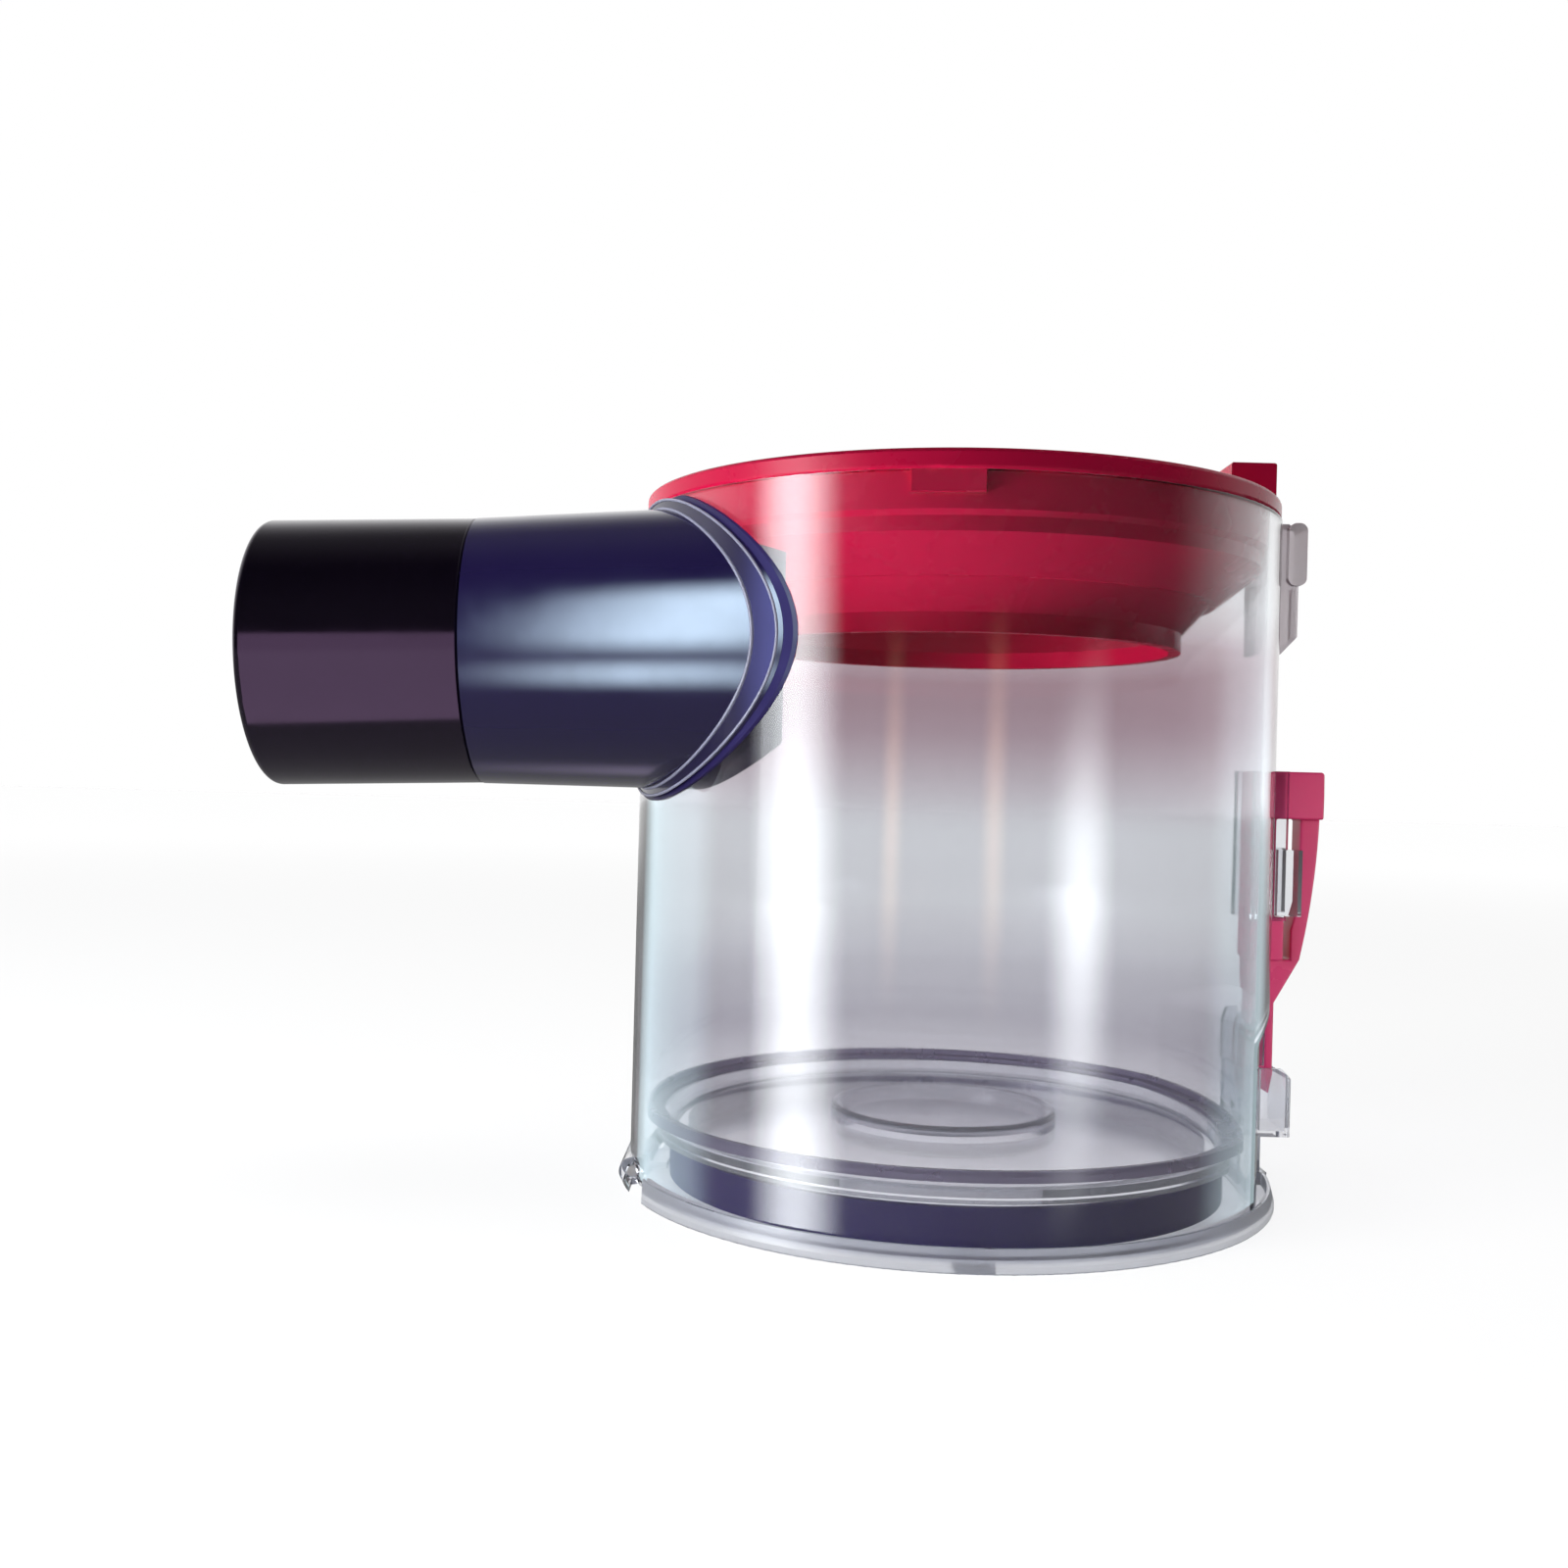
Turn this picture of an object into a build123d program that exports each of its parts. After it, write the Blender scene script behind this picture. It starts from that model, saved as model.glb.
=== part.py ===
"""Cyclone dust bin: a clear drum with a red cyclone ring on top, a side inlet and a hinged lid.

Frame: millimetres, +Z up, origin on the drum's axis in the plane that the closed lid stands on.
-X is the inlet side and carries the lid's hinge, +X is the rear and carries the latch.
"""
from build123d import *
import math
import os

# Drum: the clear wall and the flatter rear panel at its foot
bin_radius = 54.5
bin_wall = 2.0
bin_height = 112.0
panel_depth = 2.4          # how far the rear panel lies inside the round wall
panel_radius = 75.0        # radius of the rear panel, flatter than the wall
panel_height = 27.3        # height of the panel above the foot of the wall
panel_slope = 6.0          # height of the sloping shoulder over the panel
panel_run = 2.5            # how far the shoulder slopes outwards
panel_blend = 4.0          # radius of the hollow between the panel and the shoulder

# Lid: a dish with a rim around the foot of the wall
lid_web = 1.4
lid_rim_width = 1.2
lid_rim_height = 3.6
lid_rim_slope = 0.7        # how far the rim draws in towards its top
lid_rim_foot = 1.2         # height at which the rim starts to draw in
lid_rim_rounding = 0.5
lid_floor_top = 10.4
lid_floor = 1.8
lid_skirt_inset = 6.1      # from the inside of the wall to the lid's skirt
lid_skirt_wall = 1.8
lid_edge_inset = 2.6       # from the inside of the wall to the edge of the lid's floor
lid_edge_width = 2.0
lid_edge_rise = 1.65       # height of the upstand on the edge of the lid's floor
boss_radius = 19.6
boss_rise = 2.6
boss_rounding = 0.8

# Seals on the lid
band_thickness = 1.2
band_headroom = 1.1        # between the band and the lid's floor
lip_thickness = 0.8
lip_rise = 1.75
lip_base = 2.2

# Latch on the lid and the catch on the wall
latch_width = 12.0
latch_arm = 1.2
latch_top = 21.4
latch_box_height = 11.7
latch_box_reach = 5.2
latch_wall = 0.9
latch_chamfer = 1.8
latch_rounding = 0.8
catch_rise = 2.2
catch_drop = 7.3           # from the top of the latch to the middle of the catch
catch_width = 6.0

# Hinge of the lid
hinge_inset = 1.3          # from the outside of the wall to the pin
hinge_barrel_radius = 2.3
hinge_pin_radius = 1.1
hinge_pin_chamfer = 0.2
hinge_knuckle = 10.0
hinge_span = 24.0

# Cyclone ring
ring_inset = 0.2           # from the outside of the wall in to the edge of the flange
ring_flange = 3.1
ring_wall = 2.0
skirt_drop = 5.4
step_inset = 0.8
step_drop = 8.4
ledge_drop = 13.8
ledge_inset = 8.0          # from the skirt to the ledge
ledge_width = 1.2
mouth_drop = 21.6
mouth_inset = 5.6          # from the ledge to the mouth
mouth_land = 3.0           # height of the mouth's straight edge
ring_rounding = 0.6
key_width = 10.6
key_height = 3.1
key_azimuth = -97.6
key_skin = 0.7             # thickness of the wall left in front of the key
tab_width = 12.0
tab_height = 9.0
tab_thickness = 3.8
tab_lip_reach = 4.0
tab_lip_height = 4.5
tab_setback = 0.3          # from the edge of the flange to the back of the tab
tab_rounding = 0.5

# Inlet: a duct on the side of the drum, and a sleeve on the duct
inlet_offset = 20.0        # the inlet's axis passes this far in front of the drum's axis
inlet_drop = 22.3          # from the top of the wall to the inlet's axis, at the drum's axis
inlet_droop = 2.0          # degrees that the inlet falls towards its free end
neck_reach = 45.0          # where the neck has its full radius
neck_flare = 1.3           # how much the neck widens towards the wall
neck_inner_end = 12.0
duct_length = 78.9
duct_step = 0.1            # from the sleeve's surface up to the duct's
duct_wall = 2.2
spigot_depth = 5.0         # how far the duct reaches past the inside of the wall
spigot_end = 29.5          # from the drum's axis to the edge of the spigot, along the inlet
saddle_shift = 1.4         # the saddle stands out most on the side where the duct meets the wall flat
saddle_width = 1.2
saddle_thickness = 0.5
gasket_thickness = 0.35
gasket_rim = 0.8           # how far the gasket shows around the saddle
sleeve_length = 34.0
sleeve_wall = 3.7
wand_bore_radius = 17.7
wand_stop = 0.8            # step that the wand comes to rest on
joint_length = 8.0
joint_wall = 1.5
sleeve_rounding = 1.2
seam_chamfer = 0.4

# Release slide at the rear, from its tip in the latch up to its thumb head
slide_width = 9.0
slide_tip_depth = 5.0      # how far the tip reaches into the latch at rest
slide_tip_taper = 3.6
slide_stem = 1.4
slide_stem_width = 5.0
slide_stem_length = 15.9
slide_knee_rise = 4.6
slide_knee_reach = 1.8     # from the face of the leg to the outside of the knee
slide_foot_rise = 3.0      # from the knee to the foot of the slot
slide_slot = 1.8
slide_slot_length = 7.6
slide_window = 3.1
slide_window_height = 17.0
slide_window_slope = 2.4
slide_head = 8.2
slide_leg = 2.8
slide_back = 0.9           # thickness of the leg behind the window
slide_handle_thickness = 3.3
slide_handle_sweep = 2.9   # how far the handle falls back from the head to the knee
slide_handle_bow = 1.0
slide_rounding = 0.6
slide_travel = 5.0
rail_thickness = 1.8
rail_drop = 0.5            # how far the rails run below the window
rail_reach = 2.9           # how far the rails stand out from the wall
rail_lip_room = 0.9        # between the rails' lips and the handle
rail_lip_bite = 1.4
stem_rib = 1.2
stem_rib_height = 8.5

# Rear hook
hook_rise = 1.9            # how far the hook stands above the wall
hook_length = 22.6
hook_plate_reach = 4.5
hook_plate_width = 8.0
hook_chamfer = 3.2
hook_shoulder = 2.0
hook_foot_reach = 1.5
hook_finger_width = 11.0
hook_finger_reach = 5.3
hook_finger_thickness = 3.2
hook_finger_length = 10.8
hook_finger_rounding = 1.35
hook_rounding = 0.5

# Fits
seat_gap = 0.05            # between pieces that are pressed or bonded together
foot_gap = 0.3             # between the foot of the wall and the lid's web
rim_gap = 0.3
ring_fit = 0.3
key_gap = 0.2
port_gap = 0.25
lip_gap = 0.8              # room for the lid's lip as the lid swings
hinge_gap = 0.3
hinge_floor_gap = 0.2      # between the barrels and the surface that the lid stands on
pin_gap = 0.05
slide_gap = 0.3
slide_wall_gap = 0.5
latch_gap = 0.9            # between the rear panel and the latch arm
catch_gap = 0.3
hook_gap = 0.4

# Heights and radii worked out from the values above
wall_foot = lid_web + foot_gap
wall_top = wall_foot + bin_height
inner_radius = bin_radius - bin_wall
panel_top = wall_foot + panel_height
panel_face = bin_radius - panel_depth
panel_axis = panel_face - panel_radius
rim_inner = bin_radius + rim_gap
rim_outer = rim_inner + lid_rim_width
lid_skirt_radius = inner_radius - lid_skirt_inset
lid_floor_foot = lid_floor_top - lid_floor
lid_edge_top = lid_floor_top + lid_edge_rise
hinge_x = hinge_inset - bin_radius
hinge_height = hinge_barrel_radius + hinge_floor_gap
ring_top = wall_top + ring_flange
ring_edge = bin_radius - ring_inset
skirt_radius = inner_radius - ring_fit
ledge_radius = skirt_radius - ledge_inset
mouth_radius = ledge_radius - mouth_inset
mouth_foot = wall_top - mouth_drop
inlet_height = wall_top - inlet_drop
sleeve_radius = wand_bore_radius + sleeve_wall
duct_radius = sleeve_radius + duct_step
neck_radius = duct_radius + neck_flare
latch_inner = panel_face + latch_gap
latch_box_inner = latch_inner + latch_arm
latch_box_foot = latch_top - latch_box_height
latch_front = latch_box_inner + latch_box_reach
stem_middle = latch_box_inner + (latch_box_reach - latch_wall) / 2
slide_inner = bin_radius + slide_wall_gap
slide_leg_face = slide_inner + slide_leg
slide_back_face = slide_inner + slide_back
slide_front = slide_leg_face + slide_window + slide_handle_thickness
slide_tip = latch_top - slide_tip_depth
stem_top = slide_tip + slide_stem_length
knee_height = stem_top + slide_knee_rise
slot_foot = knee_height + slide_foot_rise
window_foot = slot_foot + slide_slot_length
head_foot = window_foot + slide_window_height
slide_top = head_foot + slide_head
hook_top = wall_top + hook_rise
hook_foot = hook_top - hook_length
far = 200.0                # longer than the object, for cutting tools

FROM_BELOW = (Align.CENTER, Align.CENTER, Align.MIN)


def disc(radius, foot, top):
    """Upright cylinder on the drum's axis, between two heights."""
    return Pos(0, 0, foot) * Cylinder(radius, top - foot, align=FROM_BELOW)


def block(x_range, y_range, z_range):
    """Box between two values on each axis."""
    size = [high - low for low, high in (x_range, y_range, z_range)]
    middle = [(high + low) / 2 for low, high in (x_range, y_range, z_range)]
    return Pos(*middle) * Box(*size)


def side_profile(points, width):
    """Plate with an outline in X and Z, centred on Y = 0."""
    outline = Polyline(*[(x, 0, z) for x, z in points], close=True)
    return extrude(make_face(outline), width / 2, dir=(0, 1, 0), both=True)


def turned(points):
    """Body of revolution about the drum's axis, from radius and height pairs."""
    outline = Polyline(*[(radius, 0, height) for radius, height in points], close=True)
    return revolve(make_face(outline), Axis.Z)


def drum_form(inset, foot, top):
    """Outer form of the drum, drawn in by an inset, with the rear panel at its foot."""
    round_form = disc(bin_radius - inset, foot, top)
    radius = panel_radius - inset
    shoulder = panel_top + panel_slope
    clear = radius + far
    panel = turned([
        (0, foot), (radius, foot), (radius, panel_top),
        (radius + panel_run, shoulder), (clear, shoulder), (clear, top), (0, top)])
    hollow = panel.edges().filter_by_position(Axis.Z, panel_top, panel_top)
    panel = fillet(hollow, panel_blend)
    return round_form & (Pos(panel_axis, 0, 0) * panel)


def low_drum_form(inset, foot, top):
    """Plan of the drum at its foot, drawn in by an inset."""
    panel = Pos(panel_axis, 0, 0) * disc(panel_radius - inset, foot, top)
    return disc(bin_radius - inset, foot, top) & panel


def along_inlet(start):
    """Place on the inlet's axis, with the local Z axis pointing out of the inlet."""
    droop = math.radians(inlet_droop)
    outward = (-math.cos(droop), 0, -math.sin(droop))
    plane = Plane(origin=(0, -inlet_offset, inlet_height), x_dir=(0, 1, 0), z_dir=outward)
    return plane.location * Pos(0, 0, start)


def inlet_cylinder(radius, start, end):
    """Round length of the inlet."""
    return along_inlet(start) * Cylinder(radius, end - start, align=FROM_BELOW)


def neck_cone(extra):
    """The duct's tapered neck, grown by an extra radius."""
    slope = (neck_radius - duct_radius) / (duct_length - neck_reach)
    inner = neck_radius + slope * (neck_reach - neck_inner_end)
    length = duct_length - neck_inner_end
    return along_inlet(neck_inner_end) * Cone(
        inner + extra, duct_radius + extra, length, align=FROM_BELOW)


def hinge_cylinder(radius, low, high):
    """Round length on the hinge's axis, between two places on Y."""
    middle = Location((hinge_x, (low + high) / 2, hinge_height), (-90, 0, 0))
    return middle * Cylinder(radius, high - low)


def key_block(extra, inner, outer):
    """The ring's key, grown by an extra on each side."""
    half = key_width / 2 + extra
    foot = wall_top - key_height - extra
    key = block((inner, outer), (-half, half), (foot, wall_top + extra))
    return Rot(0, 0, key_azimuth) * key


def rim_form():
    """Solid form of the lid's rim, which draws in towards its top."""
    return turned([
        (0, 0), (rim_outer, 0), (rim_outer, lid_rim_foot),
        (rim_outer - lid_rim_slope, lid_rim_height), (0, lid_rim_height)])


def hinge_lugs():
    """Barrels of the wall, on each side of the lid's knuckle, and the fairing in front of them."""
    half_span = hinge_span / 2
    half_knuckle = hinge_knuckle / 2 + hinge_gap
    lugs = hinge_cylinder(hinge_barrel_radius, -half_span, half_span)
    fairing_foot = hinge_height - hinge_barrel_radius + foot_gap / 2
    fairing = rim_form() - disc(inner_radius, -far, far)
    lugs += fairing & block((-far, hinge_x), (-far, far), (fairing_foot, far))
    slot_top = hinge_height + hinge_barrel_radius + hinge_gap
    slot = block((-far, hinge_x / 2), (-half_knuckle, half_knuckle), (-far, slot_top))
    return lugs, slot


def slide_rails():
    """Two channels on the rear wall that the slide's leg runs in."""
    inside = slide_width / 2 + slide_gap
    outside = inside + rail_thickness
    rail_front = bin_radius + rail_reach
    lip_face = slide_back_face + slide_gap
    lip_front = slide_leg_face + slide_window - rail_lip_room
    lip_foot = window_foot + slide_gap
    lip_top = head_foot - slide_travel - slide_gap
    rail_foot = window_foot - rail_drop
    rails = None
    for side in (-1, 1):
        y_rail = sorted((side * inside, side * outside))
        y_lip = sorted((side * (inside - rail_lip_bite), side * outside))
        rail = block((inner_radius, rail_front), y_rail, (rail_foot, slide_top))
        rail += block((lip_face, lip_front), y_lip, (lip_foot, lip_top))
        rails = rail if rails is None else rails + rail
    return rails


def stem_ribs():
    """Two ribs on the rear panel that steady the slide's stem."""
    inside = slide_stem_width / 2 + 2 * slide_gap
    foot = latch_top + slide_gap
    ribs = None
    for side in (-1, 1):
        y_rib = sorted((side * inside, side * (inside + stem_rib)))
        rib = block((panel_face - bin_wall, slide_inner), y_rib, (foot, foot + stem_rib_height))
        ribs = rib if ribs is None else ribs + rib
    return ribs


def catch():
    """Wedge on the rear panel that the latch arm clicks over."""
    reach = latch_inner - catch_gap
    middle = latch_top - catch_drop
    foot = middle - catch_rise / 2
    top = middle + catch_rise / 2
    inside = panel_face - bin_wall / 2
    points = [(inside, foot), (reach, middle), (reach, top), (inside, top)]
    return side_profile(points, catch_width)


def make_bin_body():
    """Clear drum, open at both ends, with its inlet port, hinge lugs, rails and catch."""
    lugs, slot = hinge_lugs()
    body = drum_form(0, wall_foot, wall_top) + lugs + slide_rails() + stem_ribs() + catch()
    body -= drum_form(bin_wall, -far / 2, wall_top + far / 2)
    body -= slot
    body -= hinge_cylinder(hinge_pin_radius + pin_gap, -far, far)
    body -= neck_cone(port_gap)
    body -= key_block(key_gap, inner_radius - bin_wall, bin_radius - key_skin)
    return body


def ring_outline():
    """Outside of the ring from its flange down to its mouth, as radius and height pairs."""
    step_radius = skirt_radius - step_inset
    return [
        (ring_edge, ring_top), (ring_edge, wall_top),
        (skirt_radius, wall_top), (skirt_radius, wall_top - skirt_drop),
        (step_radius, wall_top - skirt_drop - step_inset), (step_radius, wall_top - step_drop),
        (ledge_radius, wall_top - ledge_drop), (ledge_radius - ledge_width, wall_top - ledge_drop),
        (mouth_radius, mouth_foot + mouth_land), (mouth_radius, mouth_foot)]


def make_cyclone_ring():
    """Red ring: a flange on the wall, a skirt and a stepped funnel, with its key and rear tab."""
    step_radius = skirt_radius - step_inset
    inside = [
        (mouth_radius - ring_wall, mouth_foot), (mouth_radius - ring_wall, mouth_foot + mouth_land),
        (ledge_radius - ledge_width - ring_wall, wall_top - ledge_drop + ring_wall / 2),
        (ledge_radius - ring_wall / 2, wall_top - ledge_drop + ring_wall / 2),
        (step_radius - ring_wall, wall_top - step_drop + ring_wall / 2),
        (step_radius - ring_wall, wall_top - skirt_drop),
        (skirt_radius - ring_wall, wall_top - skirt_drop + step_inset),
        (skirt_radius - ring_wall, ring_top)]
    ring = turned(ring_outline() + inside)
    flange_edges = ring.edges().filter_by(GeomType.CIRCLE).group_by(SortBy.RADIUS)[-1]
    ring = fillet(flange_edges, ring_rounding)
    ring += key_block(0, skirt_radius - ring_wall / 2, bin_radius - key_skin - key_gap)
    return ring + ring_tab()


def ring_tab():
    """Hooked tab that stands on the rear of the ring's flange."""
    back = ring_edge - tab_setback
    face = back - tab_thickness
    top = ring_top + tab_height
    lip_foot = top - tab_lip_height
    points = [
        (back, ring_top - ring_flange / 2), (back, top), (face - tab_lip_reach, top),
        (face - tab_lip_reach, lip_foot), (face, lip_foot), (face, ring_top - ring_flange / 2)]
    tab = side_profile(points, tab_width)
    top_edges = tab.edges().group_by(Axis.Z)[-1]
    return fillet(top_edges, tab_rounding)


def ring_room():
    """Space that the ring fills inside the drum, with a little room around it."""
    room = [(radius + ring_fit, height - ring_fit) for radius, height in ring_outline()[2:]]
    foot = mouth_foot - ring_fit
    return turned([(0, ring_top), (skirt_radius + ring_fit, ring_top)] + room + [(0, foot)])


def saddle_shell(inner, outer, rim):
    """Saddle around the neck, lying on the drum between two radii, widened by a rim."""
    top = wall_top - ring_fit
    shell = disc(outer, 0, top) - disc(inner, -far, far)
    return shell & (Pos(0, -saddle_shift, 0) * neck_cone(saddle_width + rim))


def make_inlet_gasket():
    """Soft seal between the duct's saddle and the wall."""
    inner = bin_radius + seat_gap
    return saddle_shell(inner, inner + gasket_thickness, gasket_rim) - neck_cone(seat_gap)


def make_inlet_duct():
    """Side duct: its neck passes through the wall and its saddle lies on the gasket."""
    inner = bin_radius + gasket_thickness + 2 * seat_gap
    duct = neck_cone(0) - disc(inner_radius - spigot_depth, -far, far) - ring_room()
    duct -= disc(inner_radius, -far, far) & block((-spigot_end, far), (-far, far), (-far, far))
    duct += saddle_shell(inner, inner + saddle_thickness, 0)
    spigot_radius = wand_bore_radius + joint_wall
    duct += inlet_cylinder(spigot_radius, duct_length - duct_wall, duct_length + joint_length)
    bore_radius = wand_bore_radius - wand_stop
    duct -= inlet_cylinder(bore_radius, duct_length - duct_wall, duct_length + far)
    reach = duct_length - duct_wall - neck_inner_end
    duct -= along_inlet(neck_inner_end) * Cone(
        neck_radius - duct_wall, bore_radius, reach, align=FROM_BELOW)
    return duct


def make_inlet_sleeve():
    """Sleeve on the end of the duct, with the socket for the wand."""
    sleeve_end = duct_length + sleeve_length
    sleeve = inlet_cylinder(sleeve_radius, duct_length + seat_gap, sleeve_end)
    sleeve -= inlet_cylinder(wand_bore_radius, 0, far)
    outer_edges = sleeve.edges().filter_by(GeomType.CIRCLE).sort_by(Axis.X)
    sleeve = fillet([outer_edges[0], outer_edges[1]], sleeve_rounding)
    rim = sleeve.edges().filter_by(GeomType.CIRCLE).sort_by(Axis.X)[-2:]
    sleeve = chamfer(rim.sort_by(SortBy.LENGTH)[-1], seam_chamfer)
    counterbore = wand_bore_radius + joint_wall + seat_gap
    sleeve -= inlet_cylinder(counterbore, 0, duct_length + joint_length + seat_gap)
    return sleeve


def make_lid():
    """Clear lid: rim, web, skirt, raised floor with its boss, hinge knuckle and latch."""
    rim = rim_form()
    lid = fillet(rim.edges().filter_by(GeomType.CIRCLE).group_by(Axis.Z)[0], lid_rim_rounding)
    lid -= disc(rim_inner, lid_web, far)
    lid += disc(lid_skirt_radius, 0, lid_floor_top)
    edge_inset = bin_wall + lid_edge_inset
    lid += low_drum_form(edge_inset, lid_floor_foot, lid_floor_top)
    lid += low_drum_form(edge_inset, lid_floor_top, lid_edge_top)
    lid -= low_drum_form(edge_inset + lid_edge_width, lid_floor_top, far)
    boss = disc(boss_radius, lid_floor_foot, lid_floor_top + boss_rise)
    lid += fillet(boss.edges().group_by(Axis.Z)[-1], boss_rounding)
    lid -= disc(lid_skirt_radius - lid_skirt_wall, -far, lid_floor_foot)
    lid -= disc(boss_radius - lid_floor, -far, lid_floor_foot + boss_rise)
    hinge_side = hinge_x + hinge_barrel_radius + hinge_gap
    lid -= block((-far, hinge_side), (-far, far), (-far, lid_floor_foot))
    return lid + hinge_knuckle_piece() + latch()


def hinge_knuckle_piece():
    """The lid's barrel on the hinge pin, with the plate that joins it to the lid."""
    half = hinge_knuckle / 2
    knuckle = hinge_cylinder(hinge_barrel_radius, -half, half)
    root = -(lid_skirt_radius + band_thickness + hinge_gap)
    knuckle += block((hinge_x, root), (-half, half), (hinge_floor_gap, hinge_height))
    return knuckle - hinge_cylinder(hinge_pin_radius + pin_gap, -far, far)


def latch():
    """Springy arm on the rear of the lid, with the open box that the slide's tip presses into."""
    half = latch_width / 2
    arm = block((latch_inner, latch_box_inner), (-half, half), (0, latch_top))
    foot = block((latch_inner, rim_inner + lid_rim_width / 2), (-half, half), (0, lid_rim_height))
    points = [
        (latch_inner, latch_box_foot), (latch_front, latch_box_foot),
        (latch_front, latch_top - latch_chamfer), (latch_front - latch_chamfer, latch_top),
        (latch_inner, latch_top)]
    box = side_profile(points, latch_width)
    box = fillet(box.edges().filter_by(Axis.Z).group_by(Axis.X)[-1], latch_rounding)
    box -= block(
        (latch_box_inner, latch_front - latch_wall), (latch_wall - half, half - latch_wall),
        (latch_box_foot + latch_wall, far))
    return arm + foot + box


def make_lid_band_seal():
    """Dark rubber band around the lid's skirt."""
    inner = lid_skirt_radius + seat_gap
    top = lid_floor_foot - band_headroom
    return disc(inner + band_thickness, lid_web + seat_gap, top) - disc(inner, -far, far)


def make_lid_lip_seal():
    """Thin rubber lip on the edge of the lid's floor, close to the inside of the wall."""
    foot = lid_edge_top + seat_gap
    outer = bin_wall + lip_gap
    lip = low_drum_form(outer, foot + lip_thickness, foot + lip_rise)
    lip -= low_drum_form(outer + lip_thickness, -far, far)
    base = low_drum_form(outer, foot, foot + lip_thickness)
    base -= low_drum_form(outer + lip_thickness + lip_base, -far, far)
    return lip + base


def make_hinge_pin():
    """Steel pin through the lugs and the knuckle."""
    half = hinge_span / 2
    pin = hinge_cylinder(hinge_pin_radius, -half, half)
    return chamfer(pin.edges().filter_by(GeomType.CIRCLE), hinge_pin_chamfer)


def slide_handle():
    """Thumb head, bowed handle, knee and leg of the slide, before the loop is cut out."""
    head = (slide_front, 0, slide_top)
    foot = (slide_front - slide_handle_sweep, 0, slot_foot)
    middle = (
        slide_front - slide_handle_sweep / 2 + slide_handle_bow, 0, (slide_top + slot_foot) / 2)
    outline = [
        foot, (slide_leg_face + slide_knee_reach, 0, knee_height),
        (stem_middle + slide_stem / 2, 0, stem_top), (stem_middle - slide_stem / 2, 0, stem_top),
        (slide_inner, 0, knee_height), (slide_inner, 0, slide_top), head]
    edges = [ThreePointArc(head, middle, foot), Polyline(*outline)]
    plate = extrude(make_face(edges), slide_width / 2, dir=(0, 1, 0), both=True)
    front_edges = plate.edges().filter_by(Axis.Y).group_by(Axis.X)[-1]
    plate = fillet(front_edges, slide_rounding)
    for side in (-1, 1):
        flank = sorted((side * slide_stem_width / 2, side * far))
        plate -= block((slide_leg_face, far), flank, (-far, head_foot))
        plate -= block((0, far), flank, (-far, slot_foot))
    return plate


def make_release_slide():
    """Red slide: pressed down, its stem frees the lid's latch."""
    window_front = slide_leg_face + slide_window
    slot_front = slide_leg_face + slide_slot
    window = [
        (slide_back_face, head_foot), (window_front, head_foot),
        (window_front, window_foot + slide_window_slope), (slot_front, window_foot - slide_window_slope),
        (slot_front, slot_foot), (slide_leg_face, slot_foot),
        (slide_leg_face, window_foot), (slide_back_face, window_foot)]
    slide = slide_handle() - side_profile(window, far)
    back = stem_middle - slide_stem / 2
    front = stem_middle + slide_stem / 2
    stem = [
        (back, stem_top + slide_stem), (front, stem_top + slide_stem),
        (front, slide_tip + slide_tip_taper), (stem_middle, slide_tip), (back, slide_tip + slide_tip_taper)]
    return slide + side_profile(stem, slide_stem_width)


def make_rear_hook():
    """Hook on the upper rear wall: a chamfered plate with a rounded finger."""
    plate_front = bin_radius + hook_plate_reach
    points = [
        (inner_radius, hook_foot), (bin_radius + hook_foot_reach, hook_foot),
        (plate_front, hook_foot + hook_chamfer), (plate_front, hook_top - hook_shoulder),
        (plate_front - hook_shoulder, hook_top), (inner_radius, hook_top)]
    plate = side_profile(points, hook_plate_width)
    plate = fillet(plate.edges().filter_by(Axis.Z).group_by(Axis.X)[-1], hook_rounding)
    finger_front = bin_radius + hook_finger_reach
    half = hook_finger_width / 2
    finger = block(
        (finger_front - hook_finger_thickness, finger_front), (-half, half),
        (hook_top - hook_finger_length, hook_top))
    finger = fillet(finger.edges().filter_by(Axis.Y), hook_finger_rounding)
    hook = plate + finger - disc(bin_radius + seat_gap, -far, far)
    return hook - disc(ring_edge + hook_gap, wall_top - hook_gap, far)


parts = {
    "bin_body": make_bin_body(),
    "cyclone_ring": make_cyclone_ring(),
    "inlet_duct": make_inlet_duct(),
    "inlet_gasket": make_inlet_gasket(),
    "inlet_sleeve": make_inlet_sleeve(),
    "rear_hook": make_rear_hook(),
    "release_slide": make_release_slide(),
    "lid": make_lid(),
    "lid_band_seal": make_lid_band_seal(),
    "lid_lip_seal": make_lid_lip_seal(),
    "hinge_pin": make_hinge_pin(),
}

os.makedirs("parts", exist_ok=True)
for name, shape in parts.items():
    export_step(shape, f"parts/{name}.step")
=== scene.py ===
# %% [markdown]
# # Cyclone dust bin
#
# The bin of a vacuum cleaner: a clear drum, a crimson cyclone ring on top, a dark inlet duct on the
# left, a clear lid with seals at the foot, and a crimson release slide at the rear. The solids come
# packed as a fixed frame, in metres. This lesson gives each of them its finish, models the pieces
# that need rounder edges, and sets the studio.

# %% Load the frame
import math

import bpy
from mathutils import Matrix, Quaternion, Vector


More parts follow.
